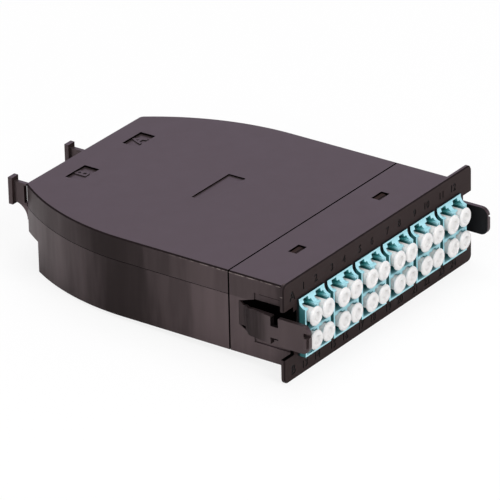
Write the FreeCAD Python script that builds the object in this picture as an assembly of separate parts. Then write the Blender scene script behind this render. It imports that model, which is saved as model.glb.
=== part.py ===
import FreeCAD, Part
import math
import os

# Fibre cassette for a patch panel: a front frame with six quad LC adapters, a base shell and a top
# cover behind it, two side latches, and two MPO trunk adapters in the rear wall.
# Frame: X across the width, -Y out of the front, +Z up, millimetres.
# Origin: middle of the front face in X, front face in Y, underside of the housing in Z.

V = FreeCAD.Vector

# ---- Front flange and sleeve ----
face_side = 5.3
face_rise = 3.3
face_drop = 3.0
face_t = 1.2
face_corner_r = 2.0
face_edge = 0.35
sleeve_len = 23.0
side_wall = 1.4
sleeve_wall = 1.4

# ---- Housing behind the sleeve ----
straight_y = 62.0
rear_y = 108.6
rear_w = 57.8
rear_corner_r = 2.2
floor_t = 1.8
top_t = 1.8
part_z = 18.0
low_rear_y = 101.2
step_z = 9.4
step_edge = 0.6
top_edge = 0.4

# ---- Joint between the shells, and between the shells and the sleeve ----
fit = 0.1
seam_gap = 0.3
part_gap = 0.15
lip_t = 0.8
lip_h = 2.0
tongue_w = 76.0
tongue_t = 1.3
tongue_root = 6.0
snap_x = 21.6
snap_y = 14.3
snap_w = 5.4
snap_len = 3.0
snap_rise = 1.0

# ---- Pockets in the top ----
letter_x = 14.4
letter_w = 8.8
letter_len = 5.4
letter_rear_y = 101.3
letter_depth = 0.6
label_w = 19.2
label_len = 6.2
label_rear_y = 61.2
label_depth = 0.4

# ---- Quad LC adapters ----
adapter_count = 6
adapter_pitch = 14.4
adapter_w = 12.86
adapter_side_gap = 0.17
adapter_under = 3.85
adapter_h = 18.2
adapter_over = 3.65
adapter_out = 2.7
adapter_top_out = 0.6
cove_h = 2.9
cove_flat = 0.5
adapter_back_y = 22.3
shoulder_t = 1.5
shoulder_h = 1.6
port_pitch = 6.25
row_rise = 4.9
row_pitch = 7.65
port_w = 5.2
port_below = 4.35
port_above = 2.3
port_depth = 3.2
socket_h = 5.4
web_y0 = 8.0
web_y1 = 12.0
throat_w = 3.4
throat_rise = 2.9
slot_wide = 4.5
slot_wide_rise = 3.95
slot_narrow = 2.4
slot_narrow_rise = 5.0
slot_depth = 6.0
notch_w = 1.9
notch_rise = 2.75

# ---- LC dust caps ----
cap_head_d = 6.1
cap_head_t = 0.9
cap_gap = 1.3
cap_neck = 4.4
cap_neck_end = 6.5
cap_dish = 3.1
cap_dish_depth = 0.5

# ---- Inner LC plugs ----
plug_play = 0.2
plug_y0 = 12.4
plug_y1 = 31.0
plug_boot = 3.2
plug_boot_end = 43.0

# ---- Side latches ----
latch_z0 = 8.1
latch_z1 = 17.0
latch_root_y = 19.4
latch_root_z0 = 9.3
latch_root_len = 2.2
latch_root_t = 0.8
latch_bend_y = 18.4
latch_bend_len = 5.2
latch_bend_out = 2.6
latch_arm_t = 1.1
latch_heel_t = 1.9
latch_tab_t = 1.4
latch_tab_out = 3.7
latch_tip_y = -7.7
latch_tab_y = 3.2
latch_tip_r = 2.6
catch_slot = 2.7
catch_neck_z0 = 10.3
catch_neck_z1 = 14.0
rib_y = -6.7
rib_t = 0.9
rib_out = 0.8
rib_z0 = 10.2
rib_z1 = 13.6
thumb_dip_w = 2.0
thumb_dip_h = 1.2
thumb_dip_depth = 0.9
window_z0 = 7.4
window_z1 = 18.7
window_depth = 1.0
window_taper_low = 3.2
window_taper_top = 5.2
root_play = 0.06
recess_z0 = 5.0
recess_z1 = 20.9
recess_len = 13.0
recess_depth = 0.35
ear_notch_z0 = 5.0
ear_notch_z1 = 20.3
ear_notch_gap = 0.6

# ---- MPO adapters, caps and connectors ----
mpo_x = 14.4
mpo_z = 16.9
mpo_w = 12.6
mpo_h = 9.4
mpo_out = 2.5
mpo_len = 14.0
mpo_shoulder = 1.0
mpo_shoulder_t = 1.5
mpo_port_w = 9.9
mpo_port_h = 6.9
mpo_wall_t = 3.0
mpo_cap_head = 2.0
mpo_cap_lip = 0.6
mpo_cap_depth = 6.5
mpo_plug_depth = 6.0
mpo_plug_body_w = 12.0
mpo_plug_body_h = 8.4
mpo_plug_len = 19.0
mpo_boot = 5.0
mpo_boot_len = 6.0

# ---- Fibre harness ----
coil_side = 1.875
coil_y0 = 50.0
coil_len = 16.0
coil_section = 3.0
coil_corner = 4.6
tail_w = 0.9
fan_w = 9.0
post_in = 10.0
post_w = 6.0
post_corner = 1.7
post_h = 15.0

# ---- Tie hooks on the rear wall ----
hook_x = (-28.1, 0.0)
hook_stem_t = 1.4
hook_stem_len = 4.8
hook_plate_t = 1.5
hook_plate_w = 3.2
hook_plate_z0 = 17.6
hook_plate_z1 = 26.4
hook_stem_z1 = 25.2
hook_stem_z0 = 18.5
hook_root_z = 13.6
hook_slit = 0.9
hook_slit_z0 = 18.9
hook_slit_z1 = 24.6

# ---- Worked out from the sizes above ----
adapter_span = (adapter_count - 1) * adapter_pitch + adapter_w
side_in = adapter_span / 2 + adapter_side_gap
half_body = side_in + side_wall
adapter_z0 = adapter_under
adapter_z1 = adapter_z0 + adapter_h
body_h = adapter_z1 + adapter_over
face_w = 2 * (half_body + face_side)
face_h = face_drop + body_h + face_rise
shell_y = sleeve_len + seam_gap
arc_dx = half_body - rear_w / 2
arc_dy = rear_y - straight_y
side_r = (arc_dx ** 2 + arc_dy ** 2) / (2 * arc_dx)
tongue_z = body_h - sleeve_wall - fit - tongue_t
tongue_front = face_t + shoulder_t + fit
port_rows = (adapter_z0 + row_rise, adapter_z0 + row_rise + row_pitch)
cap_head_y = -adapter_out - cap_gap
coil_half = (adapter_count - 1) / 2 * adapter_pitch + port_pitch / 2 + coil_side
post_x = coil_half - post_in
hinge_u = half_body - latch_root_t / 2


def box(x0, x1, y0, y1, z0, z1):
    """A block between two corners, given in any order."""
    lo = V(min(x0, x1), min(y0, y1), min(z0, z1))
    return Part.makeBox(abs(x1 - x0), abs(y1 - y0), abs(z1 - z0), lo)


def rod_y(x, z, diameter, y0, y1):
    """A round bar along Y."""
    return Part.makeCylinder(diameter / 2, y1 - y0, V(x, y0, z), V(0, 1, 0))


def plate(points, push):
    """A flat polygon pushed along a vector."""
    wire = Part.makePolygon([V(*p) for p in points + points[:1]])
    return Part.Face(wire).extrude(V(*push))


def mirrored(shape):
    return shape.mirror(V(0, 0, 0), V(1, 0, 0))


def adapter_centres():
    first = -(adapter_count - 1) / 2 * adapter_pitch
    return [first + i * adapter_pitch for i in range(adapter_count)]


def chosen(shape, keep):
    """The edges whose midpoint passes the keep test."""
    edges = []
    for edge in shape.Edges:
        middle = edge.valueAt((edge.FirstParameter + edge.LastParameter) / 2)
        if keep(edge, middle):
            edges.append(edge)
    return edges


def rounded(shape, radius, keep):
    return shape.makeFillet(radius, chosen(shape, keep))


def chamfered(shape, size, keep):
    return shape.makeChamfer(size, chosen(shape, keep))


def is_upright(edge):
    ends = edge.Vertexes
    if len(ends) < 2:
        return False
    step = ends[1].Point - ends[0].Point
    return abs(step.z) > 0.9 * step.Length


# ---- Housing ----

def housing_block(inset, front, z0, z1):
    """The housing's plan, drawn in by inset: straight sides, one arc each side, straight rear."""
    half = half_body - inset
    back = rear_y - inset
    radius = side_r - inset
    centre = half_body - side_r
    mid_y = (straight_y + back) / 2
    mid_x = centre + math.sqrt(radius ** 2 - (mid_y - straight_y) ** 2)
    rear_x = centre + math.sqrt(radius ** 2 - (back - straight_y) ** 2)
    left = Part.Arc(V(-half, straight_y, z0), V(-mid_x, mid_y, z0), V(-rear_x, back, z0)).toShape()
    right = Part.Arc(V(rear_x, back, z0), V(mid_x, mid_y, z0), V(half, straight_y, z0)).toShape()
    edges = [Part.makeLine(V(-half, front, z0), V(-half, straight_y, z0)), left,
             Part.makeLine(V(-rear_x, back, z0), V(rear_x, back, z0)), right,
             Part.makeLine(V(half, straight_y, z0), V(half, front, z0)),
             Part.makeLine(V(half, front, z0), V(-half, front, z0))]
    block = Part.Face(Part.Wire(edges)).extrude(V(0, 0, z1 - z0))
    corner = max(rear_corner_r - inset, 0.4)
    return rounded(block, corner, lambda e, m: is_upright(e) and m.y > back - 0.01)


def mpo_openings():
    """Clearance through the rear wall for the two MPO adapters."""
    cuts = []
    for x in (-mpo_x, mpo_x):
        cuts.append(box(x - mpo_w / 2 - fit, x + mpo_w / 2 + fit, rear_y - 4 * side_wall, rear_y + 1,
                        mpo_z - mpo_h / 2 - fit, mpo_z + mpo_h / 2 + fit))
    return cuts[0].fuse(cuts[1])


def tongue(z0, snap_up):
    """Flat tongue that reaches into the sleeve, with a snap under each window."""
    body = box(-tongue_w / 2, tongue_w / 2, tongue_front, shell_y + tongue_root, z0, z0 + tongue_t)
    half = snap_w / 2 - 2 * fit
    near = snap_y - snap_len / 2 + 2 * fit
    far = snap_y + snap_len / 2 - 2 * fit
    face = z0 + tongue_t if snap_up else z0
    tip = face + snap_rise if snap_up else face - snap_rise
    for x in (-snap_x, snap_x):
        wedge = plate([(x - half, near, face), (x - half, far, face), (x - half, far, tip),
                       (x - half, (near + far) / 2, tip)], (2 * half, 0, 0))
        body = body.fuse(wedge)
    return body


def hook(x):
    """T-shaped tie hook: an upright head on a thin stem whose foot sweeps down into the wall."""
    stem_end = rear_y + hook_stem_len
    half = hook_stem_t / 2
    sweep = V(x - half, rear_y + 0.28 * hook_stem_len, hook_root_z + 0.7 * (hook_stem_z0 - hook_root_z))
    foot = V(x - half, rear_y, hook_root_z)
    heel = V(x - half, stem_end, hook_stem_z0)
    inner = rear_y - side_wall
    edges = [Part.Arc(foot, sweep, heel).toShape(),
             Part.makeLine(heel, V(x - half, stem_end, hook_stem_z1)),
             Part.makeLine(V(x - half, stem_end, hook_stem_z1), V(x - half, rear_y + fit, hook_stem_z1)),
             Part.makeLine(V(x - half, rear_y + fit, hook_stem_z1), V(x - half, rear_y + fit, part_z)),
             Part.makeLine(V(x - half, rear_y + fit, part_z), V(x - half, inner, part_z)),
             Part.makeLine(V(x - half, inner, part_z), V(x - half, inner, hook_root_z)),
             Part.makeLine(V(x - half, inner, hook_root_z), foot)]
    stem = Part.Face(Part.Wire(edges)).extrude(V(hook_stem_t, 0, 0))
    slit = box(x - half, x + half, rear_y + fit, rear_y + fit + hook_slit, hook_slit_z0, hook_slit_z1)
    head = box(x - hook_plate_w / 2, x + hook_plate_w / 2, stem_end, stem_end + hook_plate_t,
               hook_plate_z0, hook_plate_z1)
    return stem.cut(slit).fuse(head)


def base_shell():
    shell = housing_block(0, shell_y, 0, part_z)
    step = box(-half_body, half_body, low_rear_y, rear_y + 1, 0, step_z)
    shell = shell.cut(step)
    shell = chamfered(shell, step_edge, lambda e, m: abs(m.z - step_z) < 0.01 and m.y > rear_y - 0.01)
    hollow = housing_block(side_wall, 0, floor_t, part_z + 1)
    hollow = hollow.cut(box(-half_body, half_body, low_rear_y - side_wall, rear_y, 0, step_z + floor_t))
    shell = shell.cut(hollow).cut(mpo_openings())
    shell = shell.fuse(tongue(sleeve_wall + fit, False))
    for x in (-post_x, post_x):
        middle = coil_y0 + coil_len / 2
        post = box(x - post_w / 2, x + post_w / 2, middle - post_w / 2, middle + post_w / 2,
                   floor_t / 2, floor_t / 2 + post_h)
        shell = shell.fuse(chamfered(post, post_corner, lambda e, m: is_upright(e)))
    for x in hook_x:
        shell = shell.fuse(hook(x))
    return shell.removeSplitter()


def top_cover():
    shell = housing_block(0, shell_y, part_z + part_gap, body_h)
    shell = chamfered(shell, top_edge, lambda e, m: m.z > body_h - 0.01 and m.y > shell_y + 0.01)
    rabbet = side_wall + fit
    shell = shell.fuse(housing_block(rabbet, shell_y, part_z - lip_h, part_z + 1))
    shell = shell.cut(housing_block(rabbet + lip_t, 0, 0, body_h - top_t)).cut(mpo_openings())
    shell = shell.fuse(tongue(tongue_z, True))
    for x in (-letter_x, letter_x):
        shell = shell.cut(box(x - letter_w / 2, x + letter_w / 2, letter_rear_y - letter_len, letter_rear_y,
                              body_h - letter_depth, body_h + 1))
    label = box(-label_w / 2, label_w / 2, label_rear_y - label_len, label_rear_y,
                body_h - label_depth, body_h + 1)
    return shell.cut(label).removeSplitter()


# ---- Front frame ----

def flange():
    plate_block = box(-face_w / 2, face_w / 2, 0, face_t, -face_drop, face_h - face_drop)

    def at_corner(edge, middle):
        outer = abs(middle.x) > face_w / 2 - 0.01
        return outer and (middle.z < 0.01 - face_drop or middle.z > face_h - face_drop - 0.01)
    plate_block = rounded(plate_block, face_corner_r, at_corner)
    return chamfered(plate_block, face_edge, lambda e, m: m.y < 0.01)


def latch_cuts():
    """Everything cut for the left latch: ear notch, window in the wall, recess round it and root seat."""
    wall_x = -half_body
    floor_x = wall_x + window_depth
    ear = box(-face_w, wall_x - ear_notch_gap, -1, face_t, ear_notch_z0, ear_notch_z1)
    seat_r = latch_root_t / 2 + root_play
    outline = [(wall_x - 1, -1, window_z0), (wall_x - 1, latch_root_y - window_taper_low, window_z0),
               (wall_x - 1, latch_root_y, latch_root_z0 - root_play),
               (wall_x - 1, latch_root_y, latch_z1 + root_play),
               (wall_x - 1, latch_root_y - window_taper_top, window_z1), (wall_x - 1, -1, window_z1)]
    window = plate(outline, (1 + window_depth, 0, 0))
    root_z0 = latch_root_z0 - root_play
    seat = Part.makeCylinder(seat_r, latch_z1 + root_play - root_z0, V(-hinge_u, latch_root_y, root_z0))
    seat = seat.common(box(wall_x - 1, floor_x + 0.2, 0, sleeve_len, 0, body_h))
    recess = box(wall_x - 1, wall_x + recess_depth, face_t, face_t + recess_len, recess_z0, recess_z1)
    return ear.fuse(window).fuse(recess).fuse(seat)


def front_frame():
    frame = flange()
    sleeve = box(-half_body, half_body, 0, sleeve_len, 0, body_h)
    sleeve = chamfered(sleeve, top_edge, lambda e, m: abs(m.x) > half_body - 0.01 and m.z > body_h - 0.01)
    frame = frame.fuse(sleeve)
    frame = frame.cut(box(-side_in, side_in, face_t, sleeve_len + 1, sleeve_wall, body_h - sleeve_wall))
    for x in adapter_centres():
        half = adapter_w / 2 + fit
        frame = frame.cut(box(x - half, x + half, -1, face_t + 1, adapter_z0 - fit, adapter_z1 + fit))
    for x in (-snap_x, snap_x):
        window = box(x - snap_w / 2, x + snap_w / 2, snap_y - snap_len / 2, snap_y + snap_len / 2,
                     -1, body_h + 1)
        inside = box(-side_in, side_in, 0, sleeve_len, sleeve_wall, body_h - sleeve_wall)
        frame = frame.cut(window.cut(inside))
    cuts = latch_cuts()
    return frame.cut(cuts).cut(mirrored(cuts)).removeSplitter()


# ---- Latches ----

def s_bend(start, end):
    """Two equal tangent arcs that leave and arrive along Y, from a rear point to a front one."""
    middle = (start + end) * 0.5
    across = abs(start.x - end.x) / 2
    along = abs(start.y - end.y) / 2
    radius = (across ** 2 + along ** 2) / (2 * across)
    turn = math.asin(along / radius) / 2
    first = V(start.x - radius * (1 - math.cos(turn)), start.y - radius * math.sin(turn), start.z)
    second = middle * 2 - first
    return [Part.Arc(start, first, middle).toShape(), Part.Arc(middle, second, end).toShape()]


def latch():
    """Left latch: a rounded root, a bowed arm, catch slots and a flat thumb tab with a grip rib."""
    wall_x = -half_body
    tab_x = wall_x - latch_tab_out
    slot_y = latch_tab_y + catch_slot
    bend_end = latch_bend_y - latch_bend_len

    def path(root_x, bend_x, heel_x):
        corners = [V(root_x, latch_root_y, latch_z0), V(root_x, latch_bend_y, latch_z0),
                   V(bend_x, bend_end, latch_z0), V(heel_x, slot_y, latch_z0)]
        return corners, [Part.makeLine(corners[0], corners[1])] + s_bend(corners[1], corners[2]) \
            + [Part.makeLine(corners[2], corners[3])]
    outer, edges = path(wall_x, wall_x - latch_bend_out, tab_x)
    inner, inner_edges = path(wall_x + latch_root_t, wall_x - latch_bend_out + latch_arm_t,
                              tab_x + latch_heel_t)
    tab = [outer[-1], V(tab_x, latch_tip_y, latch_z0), V(tab_x + latch_tab_t, latch_tip_y, latch_z0),
           V(tab_x + latch_tab_t, slot_y, latch_z0), inner[-1]]
    edges += inner_edges + [Part.makeLine(p, q) for p, q in zip(tab, tab[1:])]
    edges.append(Part.makeLine(inner[0], outer[0]))
    arm = Part.Face(Part.Wire(Part.__sortEdges__(edges))).extrude(V(0, 0, latch_z1 - latch_z0))
    arm = rounded(arm, latch_tip_r, lambda e, m: m.y < latch_tip_y + 0.01 and not is_upright(e)
                  and abs(m.x - tab_x - latch_tab_t / 2) < 0.01)
    bead = Part.makeCylinder(latch_root_t / 2, latch_z1 - latch_root_z0,
                             V(-hinge_u, latch_root_y, latch_root_z0))
    arm = arm.fuse(bead)
    arm = arm.cut(box(wall_x - latch_tab_out, wall_x + latch_tab_out, latch_root_y - latch_root_len,
                      latch_root_y + latch_root_t, 0, latch_root_z0))
    for z0, z1 in ((catch_neck_z1, latch_z1 + 1), (0, catch_neck_z0)):
        arm = arm.cut(box(tab_x - 1, wall_x, latch_tab_y, slot_y, z0, z1))
    rib = box(tab_x - rib_out, tab_x, rib_y - rib_t / 2, rib_y + rib_t / 2, rib_z0, rib_z1)
    dip = box(tab_x - 1, tab_x + thumb_dip_depth, rib_y - thumb_dip_w / 2, rib_y + thumb_dip_w / 2,
              rib_z1, rib_z1 + thumb_dip_h)
    return arm.cut(dip).fuse(rib).removeSplitter()


# ---- Quad LC adapters and what goes in them ----

def adapter_side():
    """Side view of an adapter body: proud at the bottom, drawn back at the top by a cove."""
    cove_z0 = adapter_z1 - cove_h
    cove_z1 = adapter_z1 - cove_flat
    reach = adapter_out - adapter_top_out
    rise = cove_z1 - cove_z0
    radius = (reach ** 2 + rise ** 2) / (2 * reach)
    turn = math.asin(rise / radius) / 2
    centre_y = -adapter_top_out - radius
    middle = V(0, centre_y + radius * math.cos(turn), cove_z1 - radius * math.sin(turn))
    corners = [V(0, -adapter_out, cove_z0), V(0, -adapter_out, adapter_z0), V(0, adapter_back_y, adapter_z0),
               V(0, adapter_back_y, adapter_z1), V(0, -adapter_top_out, adapter_z1),
               V(0, -adapter_top_out, cove_z1)]
    edges = [Part.makeLine(a, b) for a, b in zip(corners, corners[1:])]
    edges.append(Part.Arc(corners[-1], middle, corners[0]).toShape())
    return Part.Face(Part.Wire(edges))


def port_cut(x, z, top_row):
    """One port: the wide mouth, the square socket, the latch slot above it and the rear socket."""
    half = port_w / 2
    front = -adapter_out - 1
    cut = box(x - half, x + half, front, port_depth, z - port_below, z + port_above)
    cut = cut.fuse(box(x - half, x + half, front, web_y0, z - socket_h / 2, z + port_above))
    if top_row:
        cut = cut.fuse(box(x - throat_w / 2, x + throat_w / 2, front, slot_depth, z, z + throat_rise))
        cut = cut.fuse(box(x - slot_wide / 2, x + slot_wide / 2, front, slot_depth,
                           z + throat_rise, z + slot_wide_rise))
        cut = cut.fuse(box(x - slot_narrow / 2, x + slot_narrow / 2, front, slot_depth,
                           z + throat_rise, z + slot_narrow_rise))
    else:
        cut = cut.fuse(box(x - notch_w / 2, x + notch_w / 2, front, slot_depth, z, z + notch_rise))
    return cut.fuse(box(x - half, x + half, web_y1, adapter_back_y + 1, z - socket_h / 2, z + socket_h / 2))


def lc_adapter(centre):
    body = adapter_side().extrude(V(adapter_w, 0, 0))
    body.translate(V(centre - adapter_w / 2, 0, 0))
    shoulder = box(centre - adapter_w / 2, centre + adapter_w / 2, face_t, face_t + shoulder_t,
                   adapter_z0 - shoulder_h, adapter_z1 + shoulder_h)
    body = body.fuse(shoulder)
    for z in port_rows:
        for x in (centre - port_pitch / 2, centre + port_pitch / 2):
            body = body.cut(port_cut(x, z, z == port_rows[1]))
    return body.removeSplitter()


def octagon_y(x, z, across, y0, y1):
    """A square bar along Y with its corners taken off until all eight sides are equal."""
    half = across / 2
    cut = half * (2 - math.sqrt(2))
    turns = ((half, half - cut), (half - cut, half), (cut - half, half), (-half, half - cut),
             (-half, cut - half), (cut - half, -half), (half - cut, -half), (half, cut - half))
    return plate([(x + u, y0, z + v) for u, v in turns], (0, y1 - y0, 0))


def dust_cap(x, z):
    """Round head with an eight-sided recess in its face, on an eight-sided neck."""
    front = cap_head_y - cap_head_t
    cap = rod_y(x, z, cap_head_d, front, cap_head_y)
    cap = cap.fuse(octagon_y(x, z, cap_neck, cap_head_y, cap_neck_end))
    return cap.cut(octagon_y(x, z, cap_dish, front - 1, front + cap_dish_depth))


def lc_plug(x, z):
    """Inner connector: square body in the rear socket and a slimmer boot behind."""
    half_x = port_w / 2 - plug_play
    half_z = socket_h / 2 - plug_play
    plug = box(x - half_x, x + half_x, plug_y0, plug_y1, z - half_z, z + half_z)
    return plug.fuse(block_y(x, z, plug_boot, plug_boot, plug_y1, plug_boot_end))


def lc_plugs(centre):
    plugs = []
    for z in port_rows:
        for x in (centre - port_pitch / 2, centre + port_pitch / 2):
            plugs.append(lc_plug(x, z))
    return Part.makeCompound(plugs)


# ---- MPO trunk side ----

def block_y(x, z, w, h, y0, y1):
    return box(x - w / 2, x + w / 2, y0, y1, z - h / 2, z + h / 2)


def mpo_adapter(x):
    inner = rear_y - side_wall
    body = block_y(x, mpo_z, mpo_w, mpo_h, inner - mpo_len, rear_y + mpo_out)
    shoulder = block_y(x, mpo_z, mpo_w + 2 * mpo_shoulder, mpo_h,
                       inner - lip_t - fit - mpo_shoulder_t, inner - lip_t - fit)
    web = inner - mpo_len / 2
    body = body.fuse(shoulder)
    body = body.cut(block_y(x, mpo_z, mpo_port_w, mpo_port_h, web + mpo_wall_t / 2, rear_y + mpo_out + 1))
    return body.cut(block_y(x, mpo_z, mpo_port_w, mpo_port_h, inner - mpo_len - 1, web - mpo_wall_t / 2))


def mpo_cap(x):
    face = rear_y + mpo_out
    plug = block_y(x, mpo_z, mpo_port_w - 2 * fit, mpo_port_h - 2 * fit, face - mpo_cap_depth, face)
    head = block_y(x, mpo_z, mpo_port_w + 2 * mpo_cap_lip, mpo_port_h + 2 * mpo_cap_lip,
                   face, face + mpo_cap_head)
    return plug.fuse(head)


def mpo_connector(x):
    end = rear_y - side_wall - mpo_len
    nose = block_y(x, mpo_z, mpo_port_w - 2 * fit, mpo_port_h - 2 * fit, end, end + mpo_plug_depth - 1)
    body = block_y(x, mpo_z, mpo_plug_body_w, mpo_plug_body_h, end - mpo_plug_len, end)
    boot = block_y(x, mpo_z, mpo_boot, mpo_boot, end - mpo_plug_len - mpo_boot_len, end - mpo_plug_len)
    return body.fuse(nose).fuse(boot)


def fan_out(x, row):
    """Block that splits the trunk ribbon: boot side at the MPO height, coil side at the row's height."""
    boot_end = rear_y - side_wall - mpo_len - mpo_plug_len - mpo_boot_len
    low = min(mpo_z - mpo_boot / 2, row - coil_section / 2)
    high = mpo_z + mpo_boot / 2
    return box(x - fan_w / 2, x + fan_w / 2, coil_y0 + coil_len, boot_end, low, high)


def fibre_harness(row):
    """Flat coil round the posts, its corners cut, with a tail to each plug of its row."""
    def track(inset, z0, height):
        half = coil_half - inset
        cut = coil_corner - inset * (2 - math.sqrt(2))
        ring = box(-half, half, coil_y0 + inset, coil_y0 + coil_len - inset, z0, z0 + height)
        return chamfered(ring, cut, lambda e, m: is_upright(e))
    z0 = row - coil_section / 2
    coil = track(0, z0, coil_section).cut(track(coil_section, z0 - 1, coil_section + 2))
    for centre in adapter_centres():
        for x in (centre - port_pitch / 2, centre + port_pitch / 2):
            coil = coil.fuse(block_y(x, row, tail_w, tail_w, plug_boot_end, coil_y0 + coil_section))
    return coil


def save(name, shape):
    shape.exportStep(os.path.join("parts", name + ".step"))


os.makedirs("parts", exist_ok=True)
save("front_frame", front_frame())
save("base_shell", base_shell())
save("top_cover", top_cover())
left_latch = latch()
save("left_latch", left_latch)
save("right_latch", mirrored(left_latch))
port = 0
for index, centre in enumerate(adapter_centres()):
    save("lc_adapter_%d" % (index + 1), lc_adapter(centre))
    save("lc_plugs_%d" % (index + 1), lc_plugs(centre))
for z in reversed(port_rows):
    for centre in adapter_centres():
        for x in (centre - port_pitch / 2, centre + port_pitch / 2):
            port += 1
            save("dust_cap_%02d" % port, dust_cap(x, z))
for letter, side, row in (("a", 1, port_rows[1]), ("b", -1, port_rows[0])):
    x = side * mpo_x
    save("mpo_adapter_" + letter, mpo_adapter(x))
    save("mpo_cap_" + letter, mpo_cap(x))
    save("mpo_connector_" + letter, mpo_connector(x))
    save("fan_out_" + letter, fan_out(x, row))
    save("fibre_harness_" + letter, fibre_harness(row))
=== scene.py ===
import math
import bmesh
import bpy
from mathutils import Matrix, Vector


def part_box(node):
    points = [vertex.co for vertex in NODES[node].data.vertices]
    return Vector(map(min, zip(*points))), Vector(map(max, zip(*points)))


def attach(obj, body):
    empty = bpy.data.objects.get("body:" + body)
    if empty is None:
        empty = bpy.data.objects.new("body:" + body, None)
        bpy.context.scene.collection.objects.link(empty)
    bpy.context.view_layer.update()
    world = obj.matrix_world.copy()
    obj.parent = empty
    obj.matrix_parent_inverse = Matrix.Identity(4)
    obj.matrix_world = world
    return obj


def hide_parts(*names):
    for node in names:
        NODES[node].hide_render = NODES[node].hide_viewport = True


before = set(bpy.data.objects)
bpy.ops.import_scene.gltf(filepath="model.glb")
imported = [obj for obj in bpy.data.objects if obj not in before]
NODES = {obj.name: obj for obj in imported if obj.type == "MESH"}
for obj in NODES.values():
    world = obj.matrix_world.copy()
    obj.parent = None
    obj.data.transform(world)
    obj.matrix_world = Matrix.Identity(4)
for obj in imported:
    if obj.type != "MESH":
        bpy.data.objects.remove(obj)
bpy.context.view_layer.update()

MM = 0.001

# ---- Words, pockets and the latches' dip, in millimetres ----
LC_PITCH = 6.25
ADAPTER_PITCH = 14.4
ADAPTER_COUNT = 6
CAP_COUNT = 24
CAPITAL_SHARE = 0.73  # a capital's height, as a share of its type size
STROKE_SHARE = 0.038  # how far a stroke's side moves out, as a share of the letter's height
MITRE_LIMIT = -0.5  # the cosine between two walls past which a mitre grows no longer
LETTER_STEPS = 3
LETTER_WELD = 0.0005
FIGURE_H = 2.35
FIGURE_DEPTH = 0.22
FIGURE_ROWS = ((24.9, 1), (-0.25, 13))  # (height, first number)
LETTER_H = 2.9
LETTER_SPOTS = (("A", -44.8, 23.9), ("B", -44.9, 0.2))
POCKET_LETTERS = (("A", 15.0), ("B", -13.4))
POCKET_LETTER_H = 4.4
POCKET_LETTER_Y = 98.9
POCKET_FLOOR_Z = 25.08
POCKET_CUT_H = 2.0
POCKET_RISE = 0.26
POCKET_X = ((-18.8, -9.05), (10.0, 19.5))
POCKET_Y = (95.9, 101.5)
DIP_HALF_X = 60.0  # past both latches
DIP_OUTLINE = ((19.5, 17.06), (18.0, 15.9), (13.2, 17.0), (13.2, 19.0), (19.5, 19.0))  # (y, z)

# ---- Places that the materials pick out, in millimetres, most as (middle, reach) ----
BAND_Z = 18.05  # where the sides' upper band begins
BAND_SHIFT_Y = -4.5
REFLECTION_BAND_Y = (-10.0, 120.0)  # from, to
WELL_HALF_X = 26.0
WELL_Y = (54.0, 50.0)
WELL_Z = (24.8, 0.86)
SEAM_Y = (23.15, 0.27)
PARTING_FROM_Y = 23.1
PARTING_Z = (18.07, 0.2)
EAR_FROM_X = 44.5
EAR_Y = (0.6, 0.64)
EAR_Z = (12.65, 7.75)
PIT_X = (42.8, 43.6)  # from, to
PIT_Y = (9.8, 10.2)
PIT_Z = (12.2, 6.75)
RIM_FROM_Y = 1.5
RIM_FROM_Z = 25.0
BROW_TO_Y = 0.5
SNAP_FLOOR_X = (21.6, 2.8)
SNAP_FLOOR_Y = (14.3, 1.6)
SNAP_FLOOR_TO_Z = 25.5
RECESS_EDGE_X = (43.65, 0.1)
RECESS_EDGE_Y = (6.0, 6.6)
RECESS_EDGE_Z = (20.72, 0.2)
RECESS_WALL_FROM_X = 43.6
RECESS_WALL_Y = (14.2, 0.3)
GLINT_Y = (20.0, 50.0)  # full, gone
GLINT_Z = (25.17, 0.16)
SLOT_Y = (6.0, 4.5)
SLOT_Z = (13.15, 3.4)
ADAPTER_SIDE_X = 6.2
ADAPTER_IN_Y = (-2.6, -0.4)  # bright, deep
ADAPTER_ROOT_Y = (-0.95, -0.5)  # clear, dark
ADAPTER_BACK_Y = 0.3
ADAPTER_BROW_Z = 22.0

# ---- How squarely a face looks along an axis, from its normal ----
SQUARE_ON = 0.9
MOSTLY_ON = 0.8
HALF_ON = 0.5
TOP_CHAMFER = (0.68, 0.24)  # (middle, reach)
FRONT_CHAMFER = (-0.68, 0.26)  # (middle, reach)
NOT_UNDER = -0.3

# ---- Colours, painted light and shade among them, and painted reflection bands along the depth as (y in millimetres, share) ----
BLACK_LIGHT = (0.020, 0.0145, 0.0145)
BLACK_DARK = (0.018, 0.013, 0.013)
# the satin's reflections tinted pink: a painted reflection colour
BLACK_TINT = (1.0, 0.75, 0.78)
# painted shade on the faces that look forward: a matt, darker copy of the black
FRONT_SHADED_BLACK = (0.0235, 0.0148, 0.0142)
# painted shade on the snap windows' floors
SNAP_FLOOR_SHADE = (0.029, 0.0175, 0.0155)
# painted shade on the chamfers and under the latch recess's upper edge
EDGE_SHADE_BLACK = (0.0125, 0.0085, 0.0088)
# painted light on the latch recess's rear wall
RECESS_WALL_LIGHT = (0.06, 0.05, 0.051)
# painted highlight along the cover's upper side edges
GLINT_HIGHLIGHT = (0.24, 0.2, 0.19)
# painted shade in the deep places
DEEP_SHADE_BLACK = (0.0012, 0.001, 0.001)
LATCH_INSIDE_SHADE = (0.0085, 0.0088, 0.0098)
LATCH_SLOT_SHADE = (0.006, 0.0045, 0.0045)
AQUA_LIGHT = (0.385, 0.70, 0.77)
AQUA_DARK = (0.345, 0.655, 0.73)
# painted shade deep in the ports
AQUA_INNER_SHADE = (0.045, 0.29, 0.30)
# painted shade on the adapters' outer sides
AQUA_SIDE_SHADE = (0.022, 0.135, 0.14)
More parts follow.
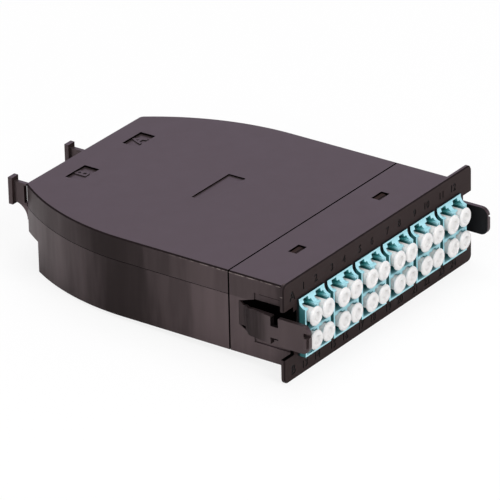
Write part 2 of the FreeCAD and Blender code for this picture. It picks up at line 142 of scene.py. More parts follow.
# painted shadow where the adapters meet the frame
AQUA_ROOT_SHADOW = (0.012, 0.016, 0.018)
CAP_LIGHT = (0.72, 0.713, 0.705)
CAP_DARK = (0.695, 0.687, 0.68)
# painted light: the caps' barrel paler than their face
CAP_BARREL_LIGHT = (0.93, 0.90, 0.885)
# painted reflection: the sides' satin share along the depth, in light and dark bands
HOUSING_REFLECTION_BANDS = ((-10, 0.2), (1, 0.2), (4, 0.6), (24, 0.96), (34, 0.82), (40, 0.2), (45, 0.58), (51, 0.1),
                 (60, 0.0), (67, 0.0), (73, 0.22), (80, 0.36), (90, 0.6), (106, 0.85))
LATCH_REFLECTION_BANDS = ((-10, 0.62), (4, 0.64), (8, 0.5), (12, 0.0), (16, 0.1), (20, 0.5))
TOP_GLOSS = 0.8
UPPER_BAND_REFLECTION = 0.68
STREAK_STRETCH = (1.0, 1.0, 0.12)  # drawn out up and down
STREAK_SCALE = 0.16
STREAK_ROUGH = 0.6
STREAK_SWAY = 5.0  # in millimetres along the depth
STREAK_GAIN = (0.86, 1.14)
GLINT_STRETCH = (1.0, 1.0, 0.1)
GLINT_SCALE = 0.5
GLINT_BREAKS = (0.42, 0.58)  # dark below the first, lit above the second
DRIFT_DETAIL = 3.0
GLOSS_PATCHES = 6  # patches of gloss across one patch of colour
MATT_ROUGHNESS = 0.62
MATT_LEVEL = 0.05
DULL_LEVEL = 0.06
EDGE_SAMPLES = 6


# ---- Shader nodes ----

def new_material(name):
    """A material with an empty node tree, and the tree."""
    mat = bpy.data.materials.new(name)
    mat.use_nodes = True
    mat.node_tree.nodes.clear()
    return mat, mat.node_tree


def node_of(tree, kind):
    """The tree's first node of a kind."""
    return next(node for node in tree.nodes if node.type == kind)


def add(tree, kind, **sockets):
    """A node with the named sockets set, an underscore standing for a space."""
    node = tree.nodes.new(kind)
    for key, value in sockets.items():
        node.inputs[key.replace("_", " ")].default_value = value
    return node


def coords_mm(tree, stretch=(1.0, 1.0, 1.0)):
    """Object coordinates in millimetres, with an optional stretch along each axis."""
    where = tree.nodes.new("ShaderNodeTexCoord")
    mapping = add(tree, "ShaderNodeMapping", Scale=[s / MM for s in stretch])
    tree.links.new(where.outputs["Object"], mapping.inputs["Vector"])
    return mapping.outputs["Vector"]


def noise(tree, vector, scale, detail=2.0, rough=0.5):
    """Smooth noise about 0.5, with scale as its waves in a unit of the vector."""
    node = add(tree, "ShaderNodeTexNoise", Scale=scale, Detail=detail, Roughness=rough)
    tree.links.new(vector, node.inputs["Vector"])
    return node.outputs["Fac"]


def remap(tree, value, low, high, from_low=0.3, from_high=0.7):
    """Takes from_low to low and from_high to high, and holds still beyond them."""
    node = add(tree, "ShaderNodeMapRange", From_Min=from_low, From_Max=from_high, To_Min=low, To_Max=high)
    tree.links.new(value, node.inputs["Value"])
    return node.outputs["Result"]


def mix_colour(tree, factor, first, second):
    """Two colours, or sockets that carry them, blended: 0 is the first and 1 the second."""
    node = tree.nodes.new("ShaderNodeMix")
    node.data_type = "RGBA"
    tree.links.new(factor, node.inputs["Factor"])
    for socket, value in ((node.inputs[6], first), (node.inputs[7], second)):
        if isinstance(value, tuple):
            socket.default_value = (*value, 1.0)
        else:
            tree.links.new(value, socket)
    return node.outputs[2]


def mixed(tree, factor, first, second):
    """Two shaders, blended: 0 shows the first and 1 the second."""
    node = tree.nodes.new("ShaderNodeMixShader")
    tree.links.new(factor, node.inputs["Fac"])
    tree.links.new(first, node.inputs[1])
    tree.links.new(second, node.inputs[2])
    return node.outputs[0]


def ramp(tree, factor, stops, interpolation="LINEAR"):
    """A colour ramp through (place, colour) stops."""
    node = tree.nodes.new("ShaderNodeValToRGB")
    node.color_ramp.interpolation = interpolation
    while len(node.color_ramp.elements) < len(stops):
        node.color_ramp.elements.new(0.5)
    for element, (place, colour) in zip(node.color_ramp.elements, stops):
        element.position = place
        element.color = (*colour, 1)
    tree.links.new(factor, node.inputs["Fac"])
    return node.outputs["Color"]


def maths(tree, operation, *values):
    """A Math node's result on numbers or sockets."""
    node = tree.nodes.new("ShaderNodeMath")
    node.operation = operation
    for socket, value in zip(node.inputs, values):
        if isinstance(value, (int, float)):
            socket.default_value = value
        else:
            tree.links.new(value, socket)
    return node.outputs[0]


def parts_of(tree, vector):
    """A vector's X, Y and Z."""
    node = tree.nodes.new("ShaderNodeSeparateXYZ")
    tree.links.new(vector, node.inputs[0])
    return node.outputs


def near(tree, value, middle, reach):
    """1 where the value is within reach of the middle, and else 0."""
    return maths(tree, "COMPARE", value, middle, reach)


def size_of(tree, value):
    """The value without its sign."""
    return maths(tree, "ABSOLUTE", value)


def over(tree, value, limit):
    """1 where the value is above the limit, and else 0."""
    return maths(tree, "GREATER_THAN", value, limit)


def under(tree, value, limit):
    """1 where the value is below the limit, and else 0."""
    return maths(tree, "LESS_THAN", value, limit)


def both(tree, *masks):
    """The product of all the masks."""
    result = masks[0]
    for mask in masks[1:]:
        result = maths(tree, "MULTIPLY", result, mask)
    return result


def either(tree, *masks):
    """The largest of all the masks."""
    result = masks[0]
    for mask in masks[1:]:
        result = maths(tree, "MAXIMUM", result, mask)
    return result


def facing(tree):
    """Object-space position in millimetres and face direction, each split into X, Y and Z."""
    where = tree.nodes.new("ShaderNodeTexCoord")
    return parts_of(tree, coords_mm(tree)), parts_of(tree, where.outputs["Normal"])


def forwards(tree, face):
    """1 where a face looks along -Y, 0 where it looks across it, and below 0 behind."""
    return maths(tree, "MULTIPLY", face["Y"], -1.0)


def edge_normal(tree, radius_mm):
    """Normals that roll over the edges, as a mould's small edge radius does."""
    node = add(tree, "ShaderNodeBevel", Radius=radius_mm * MM)
    node.samples = EDGE_SAMPLES
    return node.outputs["Normal"]


def matt(tree, colour, level=MATT_LEVEL):
    """A plain, almost glossless shader."""
    return add(tree, "ShaderNodeBsdfPrincipled", Base_Color=(*colour, 1), Roughness=MATT_ROUGHNESS,
               Specular_IOR_Level=level)


def painted(tree, mask, shader, colour, level=MATT_LEVEL):
    """The shader with a plain matt colour where the mask is 1."""
    return mixed(tree, mask, shader, matt(tree, colour, level).outputs[0])


def show(mat, shader):
    """Makes the shader the material's surface."""
    tree = mat.node_tree
    tree.links.new(shader, node_of(tree, "OUTPUT_MATERIAL").inputs["Surface"])
    return mat


# ---- Moulded plastic, and the three kinds made from it ----

def moulded(name, light, dark, roughness, grain, bump_mm, edge_mm, spread=0.06, patch=0.05,
            ior=1.5, subsurface=0.0, radius=(0.5, 0.5, 0.5)):
    """Moulded plastic: drifting colour, a fine grain, uneven gloss and softly rolled edges."""
    mat, tree = new_material(name)
    tree.nodes.new("ShaderNodeOutputMaterial")
    bsdf = add(tree, "ShaderNodeBsdfPrincipled", IOR=ior)
    mm = coords_mm(tree)
    drift = remap(tree, noise(tree, mm, patch, DRIFT_DETAIL), 0.0, 1.0)
    tree.links.new(mix_colour(tree, drift, light, dark), bsdf.inputs["Base Color"])
    patches = noise(tree, mm, patch * GLOSS_PATCHES, DRIFT_DETAIL)
    uneven = remap(tree, patches, roughness - spread, roughness + spread)
    tree.links.new(uneven, bsdf.inputs["Roughness"])
    bump = add(tree, "ShaderNodeBump", Strength=1.0, Distance=bump_mm * MM)
    tree.links.new(noise(tree, mm, grain), bump.inputs["Height"])
    tree.links.new(edge_normal(tree, edge_mm), bump.inputs["Normal"])
    tree.links.new(bump.outputs["Normal"], bsdf.inputs["Normal"])
    if subsurface:
        bsdf.inputs["Subsurface Weight"].default_value = subsurface
        bsdf.inputs["Subsurface Radius"].default_value = radius
        bsdf.inputs["Subsurface Scale"].default_value = MM
    return show(mat, bsdf.outputs["BSDF"])


def side_reflection_bands(tree, at, stops):
    """Painted reflection: how satin an upright face is along the depth, streaked up and down and in two
    bands, for lighter and darker reflections along the sides.
    """
    upper = over(tree, at["Z"], BAND_Z)
    streak = noise(tree, coords_mm(tree, STREAK_STRETCH), STREAK_SCALE, DRIFT_DETAIL, STREAK_ROUGH)
    shifted = maths(tree, "ADD", at["Y"], maths(tree, "MULTIPLY", upper, BAND_SHIFT_Y))
    along = maths(tree, "ADD", shifted, remap(tree, streak, -STREAK_SWAY, STREAK_SWAY))
    start, end = REFLECTION_BAND_Y
    places = [((y - start) / (end - start), (share, share, share)) for y, share in stops]
    gloss = ramp(tree, remap(tree, along, 0.0, 1.0, start, end), places, "B_SPLINE")
    dimmed = remap(tree, upper, 1.0, UPPER_BAND_REFLECTION, 0.0, 1.0)
    return both(tree, gloss, dimmed, remap(tree, streak, *STREAK_GAIN))


def black(name, roughness, stops, forward_limit):
    """Black plastic, satin on top, with painted reflection bands on the sides and a painted shade, matt and
    darker, where it looks forward.

    It returns the material, its shader so far, and the position and direction that it is made from.
    """
    mat = moulded(name, BLACK_LIGHT, BLACK_DARK, roughness, grain=6.0, bump_mm=0.003, edge_mm=0.08,
                  spread=0.02, patch=0.03, ior=1.85)
    tree = mat.node_tree
    satin = node_of(tree, "BSDF_PRINCIPLED")
    satin.inputs["Specular Tint"].default_value = (*BLACK_TINT, 1)
    normal = satin.inputs["Normal"].links[0].from_socket
    dull = matt(tree, BLACK_LIGHT, DULL_LEVEL)
    ahead = matt(tree, FRONT_SHADED_BLACK, DULL_LEVEL)
    tree.links.new(normal, dull.inputs["Normal"])
    tree.links.new(normal, ahead.inputs["Normal"])
    at, face = facing(tree)
    share = tree.nodes.new("ShaderNodeMix")
    share.inputs["A"].default_value = TOP_GLOSS
    tree.links.new(remap(tree, size_of(tree, face["X"]), 0.0, 1.0, 0.4, 0.7), share.inputs["Factor"])
    tree.links.new(side_reflection_bands(tree, at, stops), share.inputs["B"])
    # painted light: satin, dull and forward copies of one black, mixed by the way a face looks
    shader = mixed(tree, share.outputs["Result"], dull.outputs[0], satin.outputs[0])
    shader = mixed(tree, remap(tree, forwards(tree, face), 0.0, forward_limit), shader, ahead.outputs[0])
    return mat, shader, at, face


def deep_shade_places(tree, at, face):
    """A mask for the painted deep shade: the windows' walls, the seams, the latch pits and the ears' notches.
    """
    x = size_of(tree, at["X"])
    flat = size_of(tree, face["Z"])
    walls = both(tree, under(tree, x, WELL_HALF_X), near(tree, at["Z"], *WELL_Z),
                 near(tree, at["Y"], *WELL_Y), under(tree, flat, HALF_ON))
    seam = near(tree, at["Y"], *SEAM_Y)
    parting = both(tree, near(tree, at["Z"], *PARTING_Z), over(tree, flat, SQUARE_ON),
                   over(tree, at["Y"], PARTING_FROM_Y))
    ears = both(tree, over(tree, x, EAR_FROM_X), near(tree, at["Z"], *EAR_Z), near(tree, at["Y"], *EAR_Y))
    pits = both(tree, over(tree, x, PIT_X[0]), under(tree, x, PIT_X[1]), near(tree, at["Z"], *PIT_Z),
                near(tree, at["Y"], *PIT_Y))
    return either(tree, walls, seam, parting, ears, pits)


def shaded_edges(tree, at, face):
    """A mask for the painted shade on the edge chamfers and for the painted shadow under the latch recess's
    upper edge.
    """
    rim = both(tree, near(tree, face["Z"], *TOP_CHAMFER), over(tree, at["Z"], RIM_FROM_Z),
               over(tree, at["Y"], RIM_FROM_Y))
    brow = both(tree, near(tree, face["Y"], *FRONT_CHAMFER), under(tree, at["Y"], BROW_TO_Y),
                over(tree, face["Z"], NOT_UNDER))
    recess = both(tree, near(tree, size_of(tree, at["X"]), *RECESS_EDGE_X),
                  near(tree, at["Z"], *RECESS_EDGE_Z), near(tree, at["Y"], *RECESS_EDGE_Y))
    return either(tree, rim, brow, recess)


def snap_floors(tree, at, face):
    """A mask for the floors of the two snap windows, which get a painted shade: matt, without the satin's
    reflection.
    """
    return both(tree, near(tree, size_of(tree, at["X"]), *SNAP_FLOOR_X), near(tree, at["Y"], *SNAP_FLOOR_Y),
                over(tree, face["Z"], SQUARE_ON), under(tree, at["Z"], SNAP_FLOOR_TO_Z))


def lit_recess_wall(tree, at, face):
    """A mask for the rear wall of the latch recess, painted pale: painted light on a wall that is in shade.
    """
    return both(tree, over(tree, size_of(tree, face["Y"]), MOSTLY_ON), near(tree, at["Y"], *RECESS_WALL_Y),
                over(tree, size_of(tree, at["X"]), RECESS_WALL_FROM_X))


def glint(tree, at, face):
    """A mask for a painted highlight: a broken line along the cover's upper side edges, which fades to the
    rear.
    """
    breaks = noise(tree, coords_mm(tree, GLINT_STRETCH), GLINT_SCALE)
    return both(tree, near(tree, at["Z"], *GLINT_Z), over(tree, size_of(tree, face["X"]), SQUARE_ON),
                remap(tree, at["Y"], 1.0, 0.0, *GLINT_Y), remap(tree, breaks, 0.0, 1.0, *GLINT_BREAKS))


def housing_black(name):
    """The plate's and housing's black, with painted shade on its seams, pits, chamfers and snap windows and a
    painted highlight along the cover's edges.
    """
    mat, shader, at, face = black(name, roughness=0.36, stops=HOUSING_REFLECTION_BANDS, forward_limit=0.92)
    tree = mat.node_tree
    # painted shade on the snap windows' floors
    shader = painted(tree, snap_floors(tree, at, face), shader, SNAP_FLOOR_SHADE)
    # painted shade along the chamfers, and a painted shadow under the recess edge
    shader = painted(tree, shaded_edges(tree, at, face), shader, EDGE_SHADE_BLACK)
    # painted light on the recess's rear wall
    shader = painted(tree, lit_recess_wall(tree, at, face), shader, RECESS_WALL_LIGHT)
    # painted highlight along the cover's upper side edges
    shader = painted(tree, glint(tree, at, face), shader, GLINT_HIGHLIGHT)
    # painted shade: a near-black matt diffuse over the deep places
    shadow = add(tree, "ShaderNodeBsdfDiffuse", Color=(*DEEP_SHADE_BLACK, 1))
    return show(mat, mixed(tree, deep_shade_places(tree, at, face), shader, shadow.outputs[0]))


def latch_black(name):
    """The latches' black, with painted shade on the inside and down the two catch slots."""
    mat, shader, at, face = black(name, roughness=0.34, stops=LATCH_REFLECTION_BANDS, forward_limit=0.3)
    tree = mat.node_tree
    # painted shade on the latches' inward faces
    inward = under(tree, maths(tree, "MULTIPLY", at["X"], face["X"]), -1.0)
    shader = painted(tree, inward, shader, LATCH_INSIDE_SHADE, level=0.15)
    # painted shade down the two catch slots
    slots = both(tree, under(tree, size_of(tree, face["X"]), HALF_ON), near(tree, at["Z"], *SLOT_Z),
                 near(tree, at["Y"], *SLOT_Y))
    return show(mat, painted(tree, slots, shader, LATCH_SLOT_SHADE))


def aqua(name):
    """Adapter plastic: bright fronts, painted shade in teal down the slots and sides, and a painted shadow
    where it meets the frame.
    """
    mat = moulded(name, AQUA_LIGHT, AQUA_DARK, 0.34, grain=5.0, bump_mm=0.002, edge_mm=0.05, patch=0.12,
                  subsurface=0.02, radius=(0.2, 0.4, 0.4))
    tree = mat.node_tree
    bsdf = node_of(tree, "BSDF_PRINCIPLED")
    bright = bsdf.inputs["Base Color"].links[0].from_socket
    at, face = facing(tree)
    sideways = size_of(tree, face["X"])
    place = maths(tree, "MODULO", size_of(tree, at["X"]), ADAPTER_PITCH)
    across = size_of(tree, maths(tree, "SUBTRACT", place, ADAPTER_PITCH / 2))
    outer = over(tree, across, ADAPTER_SIDE_X)
    turned_away = remap(tree, forwards(tree, face), 1.0, 0.0, 0.1, 0.4)
    hidden = either(tree, over(tree, at["Y"], ADAPTER_BACK_Y), turned_away)
    inward = remap(tree, at["Y"], 0.0, 1.0, *ADAPTER_IN_Y)
    sides = both(tree, remap(tree, sideways, 0.0, 0.93, 0.5, 0.9), outer)
    # painted shade in teal deep in the ports and on the outer sides
    body = mix_colour(tree, both(tree, inward, hidden), bright, AQUA_INNER_SHADE)
    body = mix_colour(tree, both(tree, sides, hidden), body, AQUA_SIDE_SHADE)
    tree.links.new(body, bsdf.inputs["Base Color"])
    # painted shadow where the adapter meets the frame
    root = remap(tree, at["Y"], 0.0, 1.0, *ADAPTER_ROOT_Y)
    flanks = both(tree, over(tree, sideways, MOSTLY_ON), outer, root)
    brow = both(tree, over(tree, face["Z"], MOSTLY_ON), over(tree, at["Z"], ADAPTER_BROW_Z), root)
    return show(mat, painted(tree, either(tree, flanks, brow), bsdf.outputs[0], AQUA_ROOT_SHADOW))


def cap_plastic(name):
    """Soft cap plastic that lets light through: even on the face, and with painted light that makes it paler
    round the barrel.
    """
    mat = moulded(name, CAP_LIGHT, CAP_DARK, 0.4, grain=4.0, bump_mm=0.002, edge_mm=0.06, patch=0.25,
                  subsurface=0.3, radius=(0.6, 0.58, 0.55))
    tree = mat.node_tree
    bsdf = node_of(tree, "BSDF_PRINCIPLED")
    bright = bsdf.inputs["Base Color"].links[0].from_socket
    face = facing(tree)[1]
    # painted light on the barrel
    around = remap(tree, forwards(tree, face), 1.0, 0.0, 0.05, 0.35)
    tree.links.new(mix_colour(tree, around, bright, CAP_BARREL_LIGHT), bsdf.inputs["Base Color"])
    return mat


BLACK = housing_black("black_housing")
LATCH = latch_black("black_latch")
# painted shade in the cut figures and on the raised letters' walls
LETTER_SHADE = moulded("letter_shade", (0.006, 0.005, 0.005), (0.004, 0.0035, 0.0035), 0.6, grain=6.0,
              bump_mm=0.003, edge_mm=0.03, ior=1.3)
AQUA = aqua("aqua_adapter")
CAP = cap_plastic("cap_grey")
PLUG = moulded("plug_aqua", (0.28, 0.70, 0.72), (0.22, 0.60, 0.63), 0.4, grain=5.0,
               bump_mm=0.002, edge_mm=0.1, patch=0.15)
TRUNK = moulded("trunk_black", (0.020, 0.019, 0.020), (0.013, 0.012, 0.013), 0.45, grain=7.0,
                bump_mm=0.004, edge_mm=0.15, patch=0.1)
TRUNK_CAP = moulded("trunk_cap", (0.045, 0.044, 0.046), (0.032, 0.031, 0.033), 0.5, grain=5.0,
                    bump_mm=0.004, edge_mm=0.15, patch=0.2)
FIBRE = moulded("fibre_jacket", (0.27, 0.70, 0.72), (0.20, 0.60, 0.63), 0.3, grain=3.0,
                bump_mm=0.004, edge_mm=0.1, patch=0.3)


MATERIAL_BY_START = {"lc_adapter": AQUA, "lc_plugs": PLUG, "dust_cap": CAP, "mpo_adapter": TRUNK,
                     "mpo_cap": TRUNK_CAP, "mpo_connector": PLUG, "fan_out": TRUNK, "fibre": FIBRE}


def material_for(node):
    """The material for a node: latches and housing are black, and the rest go by their names."""
    for start, mat in MATERIAL_BY_START.items():
        if node.startswith(start):
            return mat
    return LATCH if "latch" in node else BLACK


# ---- Figures, letters, pockets and the latches' dip, as hidden solids that cut or join ----

def hidden_solid(name, verts, faces, *materials):
    """A closed mesh that other pieces use in a modifier and that is never seen itself."""
    mesh = bpy.data.meshes.new(name)
    mesh.from_pydata([tuple(vert) for vert in verts], [], faces)
    for material in materials:
        mesh.materials.append(material)
    obj = bpy.data.objects.new(name, mesh)
    bpy.context.scene.collection.objects.link(obj)
    obj.hide_render = True
    obj.hide_viewport = True
    return obj


def face_outwards(mesh):
    """Turns a closed mesh's faces so that all look out."""
    shell = bmesh.new()
    shell.from_mesh(mesh)
    bmesh.ops.recalc_face_normals(shell, faces=shell.faces)
    shell.to_mesh(mesh)
    shell.free()


def bolder(mesh, reach):
    """A text mesh's corners and loops, its side walls pushed out, each corner along its mitre."""
    shape = bmesh.new()
    shape.from_mesh(mesh)
    bmesh.ops.remove_doubles(shape, verts=shape.verts, dist=LETTER_WELD * MM)
    shape.normal_update()
    moves = {}
    for vert in shape.verts:
        walls = [face.normal for face in vert.link_faces if abs(face.normal.z) < 0.5]
        if walls:
            other = min(walls, key=walls[0].dot)
            moves[vert] = (walls[0] + other) * (reach / (1 + max(walls[0].dot(other), MITRE_LIMIT)))
    for vert, move in moves.items():
        vert.co += move
    shape.verts.index_update()
    corners = [vert.co.copy() for vert in shape.verts]
    loops = [[vert.index for vert in face.verts] for face in shape.faces]
    shape.free()
    return corners, loops


def text_object(name, text, height, depth, matrix):
    """A word as a text object, centred and as thick to the front as to the back."""
    curve = bpy.data.curves.new(name + "_text", "FONT")
    curve.body = text
    curve.align_x = "CENTER"
    curve.align_y = "CENTER"
    curve.size = height / CAPITAL_SHARE * MM
    curve.extrude = depth * MM
    curve.resolution_u = LETTER_STEPS
    obj = bpy.data.objects.new(name + "_text", curve)
    bpy.context.scene.collection.objects.link(obj)
    obj.matrix_world = matrix
    return obj


def words_solid(name, words, depth):
    """One hidden solid from (text, height in millimetres, matrix) rows, in the painted shade of cut letters.
    """
    parts = [(text_object(name, text, height, depth, matrix), height) for text, height, matrix in words]
    bpy.context.view_layer.update()
    graph = bpy.context.evaluated_depsgraph_get()
    verts, faces = [], []
    for obj, height in parts:
        corners, loops = bolder(obj.evaluated_get(graph).to_mesh(), STROKE_SHARE * height * MM)
        base = len(verts)
        verts += [obj.matrix_world @ corner for corner in corners]
        faces += [[base + i for i in loop] for loop in loops]
        obj.evaluated_get(graph).to_mesh_clear()
    for obj, height in parts:
        bpy.data.objects.remove(obj)
    return hidden_solid(name, verts, faces, LETTER_SHADE, BLACK)


def on_front(x, z):
    """A place on the plate's front, with text upright and its face to -Y."""
    return Matrix.Translation((x * MM, 0, z * MM)) @ Matrix.Rotation(math.radians(90), 4, "X")


def front_figures():
    """The plate's letters, and a number over or under each port."""
    words = [(text, LETTER_H, on_front(x, z)) for text, x, z in LETTER_SPOTS]
    centres = []
    for i in range(1, ADAPTER_COUNT + 1):
        low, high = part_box("lc_adapter_%d" % i)
        middle = (low.x + high.x) / 2 / MM
        centres += [middle - LC_PITCH / 2, middle + LC_PITCH / 2]
    for z, first in FIGURE_ROWS:
        words += [(str(first + i), FIGURE_H, on_front(x, z)) for i, x in enumerate(centres)]
    return words_solid("front_figures", words, FIGURE_DEPTH)


def top_letters():
    """The pockets' raised letters, with painted shade on their walls and tops as black as the cover."""
    words = []
    for text, x in POCKET_LETTERS:
        place = Matrix.Translation((x * MM, POCKET_LETTER_Y * MM, POCKET_FLOOR_Z * MM))
        words.append((text, POCKET_LETTER_H, place))
    solid = words_solid("top_letters", words, POCKET_RISE)
    for poly in solid.data.polygons:
        poly.material_index = int(poly.normal.z > 0.9)
    return solid


BOX_LOOPS = ((0, 1, 3, 2), (4, 6, 7, 5), (0, 4, 5, 1), (2, 3, 7, 6), (0, 2, 6, 4), (1, 5, 7, 3))


def top_pockets():
    """Two boxes that widen the pockets' floors."""
    verts, faces = [], []
    for x_range in POCKET_X:
        base = len(verts)
        verts += [Vector((x, y, z)) * MM for x in x_range for y in POCKET_Y
                  for z in (POCKET_FLOOR_Z, POCKET_FLOOR_Z + POCKET_CUT_H)]
        faces += [[base + i for i in loop] for loop in BOX_LOOPS]
    solid = hidden_solid("top_pockets", verts, faces, BLACK)
    face_outwards(solid.data)
    return solid


def latch_dip():
    """A prism that dips the top edge of both latches where they leave their roots."""
    verts = [(x * MM, y * MM, z * MM) for x in (-DIP_HALF_X, DIP_HALF_X) for y, z in DIP_OUTLINE]
    count = len(DIP_OUTLINE)
    ring = list(range(count))
    faces = [ring[::-1], [count + i for i in ring]]
    faces += [(i, (i + 1) % count, count + (i + 1) % count, count + i) for i in ring]
    solid = hidden_solid("latch_dip", verts, faces, LATCH)
    face_outwards(solid.data)
    return solid


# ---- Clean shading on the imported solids, by modifiers only ----

NODE_WELD = 0.002  # in millimetres
HARD_EDGE = math.radians(30)


def crisp(obj, cutter=None, added=None):
    """Smooth faces between hard edges, after a cut or a join with a hidden solid."""
    for poly in obj.data.polygons:
        poly.use_smooth = True
    weld = obj.modifiers.new("weld", "WELD")
    weld.merge_threshold = NODE_WELD * MM
    for tool, operation in ((cutter, "DIFFERENCE"), (added, "UNION")):
        if tool:
            cut = obj.modifiers.new(operation.lower(), "BOOLEAN")
            cut.operation = operation
            cut.solver = "EXACT"
            cut.material_mode = "TRANSFER"
            cut.object = tool
            cut.use_self = True
    split = obj.modifiers.new("hard_edges", "EDGE_SPLIT")
    split.split_angle = HARD_EDGE
    if "latch" not in obj.name:
        obj.modifiers.new("face_normals", "WEIGHTED_NORMAL")


def dress_nodes():
    """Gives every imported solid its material, its cuts and its shading."""
    dip = latch_dip()
    cutters = {"left_latch": dip, "right_latch": dip}
    cutters["front_frame"] = front_figures()
    cutters["top_cover"] = top_pockets()
    letters = {"top_cover": top_letters()}
    for name, obj in NODES.items():
        obj.data.materials.clear()
        obj.data.materials.append(material_for(name))
        crisp(obj, cutters.get(name), letters.get(name))


dress_nodes()


# ---- Dust caps, turned with a rolled rim and a soft dish ----

CAP_SIDES = 56
CAP_PROFILE = ((0.0, 1.05), (0.75, 1.04), (1.02, 0.98), (1.18, 0.82), (1.28, 0.55), (1.38, 0.28), (1.52, 0.1),
               (1.72, 0.01), (1.95, 0.0), (2.2, 0.03), (2.46, 0.11), (2.7, 0.24), (2.88, 0.41), (2.99, 0.6),
               (3.03, 0.72), (2.99, 0.82), (2.88, 0.89), (2.4, 0.9), (2.24, 0.93), (2.19, 1.02), (2.19, 11.1),
               (2.1, 11.3), (1.85, 11.4), (0.0, 11.4))


def turned(name, profile, sides):
    """A solid of revolution about Y, its front at Y = 0, from (radius, distance back) in millimetres."""
    verts, faces, rings = [], [], []
    for radius, back in profile:
        start = len(verts)
        if radius == 0:
            verts.append((0, back * MM, 0))
            rings.append([start] * sides)
            continue
        for i in range(sides):
            turn = 2 * math.pi * i / sides
            verts.append((radius * math.cos(turn) * MM, back * MM, radius * math.sin(turn) * MM))
        rings.append([start + i for i in range(sides)])
    for front, rear in zip(rings, rings[1:]):
        for i in range(sides):
            j = (i + 1) % sides
            loop = [front[i], rear[i], rear[j], front[j]]
            faces.append([v for k, v in enumerate(loop) if v not in loop[:k]])
    mesh = bpy.data.meshes.new(name)
    mesh.from_pydata(verts, [], faces)
    mesh.validate()
    mesh.update()
    for poly in mesh.polygons:
        poly.use_smooth = True
    return mesh


def place_caps():
    """One turned cap in the place of each packed dust cap."""
    mesh = turned("cap_turned", CAP_PROFILE, CAP_SIDES)
    mesh.materials.append(CAP)
    for i in range(1, CAP_COUNT + 1):
        node = "dust_cap_%02d" % i
        low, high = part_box(node)
        obj = bpy.data.objects.new("cap_%02d" % i, mesh)
        bpy.context.scene.collection.objects.link(obj)
        obj.location = ((low.x + high.x) / 2, low.y, (low.z + high.z) / 2)
        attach(obj, node + "_body")
        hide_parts(node)


place_caps()


# ---- Floor, world and lamps, in metres ----

FLOOR_HALF = 30.0
FLOOR_GAP = 0.00005
FLOOR_GREY = 0.84
FLOOR_FADE = (0.1, 0.5)  # distances from the plate's foot over which the floor turns plain white
FLOOR_WHITE = (0.84, 1.0)  # the share of plain white there, as the camera sees it
REAR_FOOT_Y = 0.1012
REAR_FOOT_Z = 0.0
SOFT_COLOUR = (1.0, 0.985, 0.985)
SOFT_STRENGTH = 0.42
REFLECTED = ((0.0, (0.96, 0.92, 1.0)), (0.47, (0.84, 0.735, 0.985)), (0.60, (0.15, 0.15, 0.16)),
             (0.85, (0.12, 0.12, 0.13)), (1.0, (0.4, 0.4, 0.4)))
AIM = (0.0, 0.045, 0.01)


def floor_material():
    """Pale grey, with a plain white glow to the camera that grows with the distance."""
    mat, tree = new_material("floor_white")
    tree.nodes.new("ShaderNodeOutputMaterial")
    diffuse = add(tree, "ShaderNodeBsdfDiffuse", Color=(FLOOR_GREY, FLOOR_GREY, FLOOR_GREY, 1))
    glow = add(tree, "ShaderNodeEmission", Strength=1.0)
    path = tree.nodes.new("ShaderNodeLightPath")
    where = tree.nodes.new("ShaderNodeTexCoord")
    away = tree.nodes.new("ShaderNodeVectorMath")
    away.operation = "LENGTH"
    tree.links.new(where.outputs["Object"], away.inputs[0])
    white = remap(tree, away.outputs["Value"], *FLOOR_WHITE, *FLOOR_FADE)
    seen = both(tree, white, path.outputs["Is Camera Ray"])
    return show(mat, mixed(tree, seen, diffuse.outputs[0], glow.outputs[0]))


def make_floor():
    """Pale floor through the plate's lower edge and the housing's rear underside."""
    front_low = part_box("front_frame")[0]
    tilt = math.atan2(REAR_FOOT_Z - front_low.z, REAR_FOOT_Y - front_low.y)
    corners = [(x * FLOOR_HALF, y * FLOOR_HALF, 0) for x, y in ((-1, -1), (1, -1), (1, 1), (-1, 1))]
    mesh = bpy.data.meshes.new("floor")
    mesh.from_pydata(corners, [], [(0, 1, 2, 3)])
    mesh.materials.append(floor_material())
    obj = bpy.data.objects.new("floor", mesh)
    bpy.context.scene.collection.objects.link(obj)
    gap = Vector((0, math.sin(tilt), -math.cos(tilt))) * FLOOR_GAP
    obj.matrix_world = (Matrix.Translation(Vector((0, front_low.y, front_low.z)) + gap)
                        @ Matrix.Rotation(tilt, 4, "X"))


def make_world():
    """White to the camera; a pale band above the horizon in reflections; a plain grey for soft light."""
    world = bpy.data.worlds.new("studio")
    bpy.context.scene.world = world
    world.use_nodes = True
    tree = world.node_tree
    tree.nodes.clear()
    out = tree.nodes.new("ShaderNodeOutputWorld")
    where = tree.nodes.new("ShaderNodeTexCoord")
    path = tree.nodes.new("ShaderNodeLightPath")
    soft = add(tree, "ShaderNodeBackground", Color=(*SOFT_COLOUR, 1), Strength=SOFT_STRENGTH)
    white = add(tree, "ShaderNodeBackground", Color=(1, 1, 1, 1), Strength=1.0)
    gloss = tree.nodes.new("ShaderNodeBackground")
    height = parts_of(tree, where.outputs["Generated"])["Z"]
    tree.links.new(ramp(tree, height, REFLECTED), gloss.inputs["Color"])
    mirrored = either(tree, path.outputs["Is Glossy Ray"], path.outputs["Is Transmission Ray"])
    unseen = mixed(tree, mirrored, soft.outputs[0], gloss.outputs[0])
    shader = mixed(tree, path.outputs["Is Camera Ray"], unseen, white.outputs[0])
    tree.links.new(shader, out.inputs["Surface"])


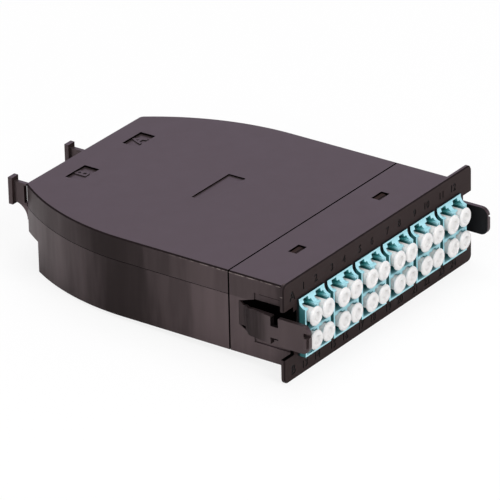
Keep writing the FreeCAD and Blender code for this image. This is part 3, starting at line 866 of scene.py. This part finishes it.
def area(name, where, aim, size, watts, colour=(1, 1, 1)):
    """A rectangular lamp that points from one place to another."""
    data = bpy.data.lights.new(name, "AREA")
    data.shape = "RECTANGLE"
    data.size, data.size_y = size
    data.energy = watts
    data.color = colour
    obj = bpy.data.objects.new(name, data)
    bpy.context.scene.collection.objects.link(obj)
    obj.location = where
    obj.rotation_mode = "QUATERNION"
    obj.rotation_quaternion = (Vector(aim) - Vector(where)).to_track_quat("-Z", "Y")
    obj.visible_camera = False


make_floor()
make_world()
area("key", where=(-0.25, -0.85, 0.75), aim=AIM, size=(0.5, 0.4), watts=7.0)
area("side", where=(-0.95, -0.1, 0.55), aim=AIM, size=(0.5, 0.5), watts=2.5)
area("over", where=(0.25, 0.15, 1.1), aim=AIM, size=(0.8, 0.8), watts=6.0, colour=(0.98, 0.97, 1.0))


# ---- Camera, at the photograph's viewing angle ----

AZIMUTH, ELEVATION, ROLL = (math.radians(a) for a in (-54.152, 25.988, -1.237))
DISTANCE = 1.53906
TARGET = Vector((0.016836, 0.057599, -0.002006))
SENSOR_MM = 36.0
LENS_MM = 364.5792
SHIFT = (-0.0088, 0.00118)  # as shares of the frame's width


def make_camera():
    """Looks at the target from the azimuth and elevation, rolled about its own axis."""
    towards = Vector((math.sin(AZIMUTH) * math.cos(ELEVATION), -math.cos(AZIMUTH) * math.cos(ELEVATION),
                      math.sin(ELEVATION)))
    right = (-towards).cross(Vector((0, 0, 1))).normalized()
    up = right.cross(-towards)
    side = right * math.cos(ROLL) + up * math.sin(ROLL)
    above = -right * math.sin(ROLL) + up * math.cos(ROLL)
    data = bpy.data.cameras.new("camera")
    data.sensor_width = SENSOR_MM
    data.lens = LENS_MM
    data.shift_x, data.shift_y = SHIFT
    data.clip_start = 0.1
    data.clip_end = 100.0
    obj = bpy.data.objects.new("camera", data)
    bpy.context.scene.collection.objects.link(obj)
    turn = Matrix((side, above, towards)).transposed().to_4x4()
    obj.matrix_world = Matrix.Translation(TARGET + towards * DISTANCE) @ turn
    bpy.context.scene.camera = obj


make_camera()
bpy.context.scene.view_settings.view_transform = "Standard"
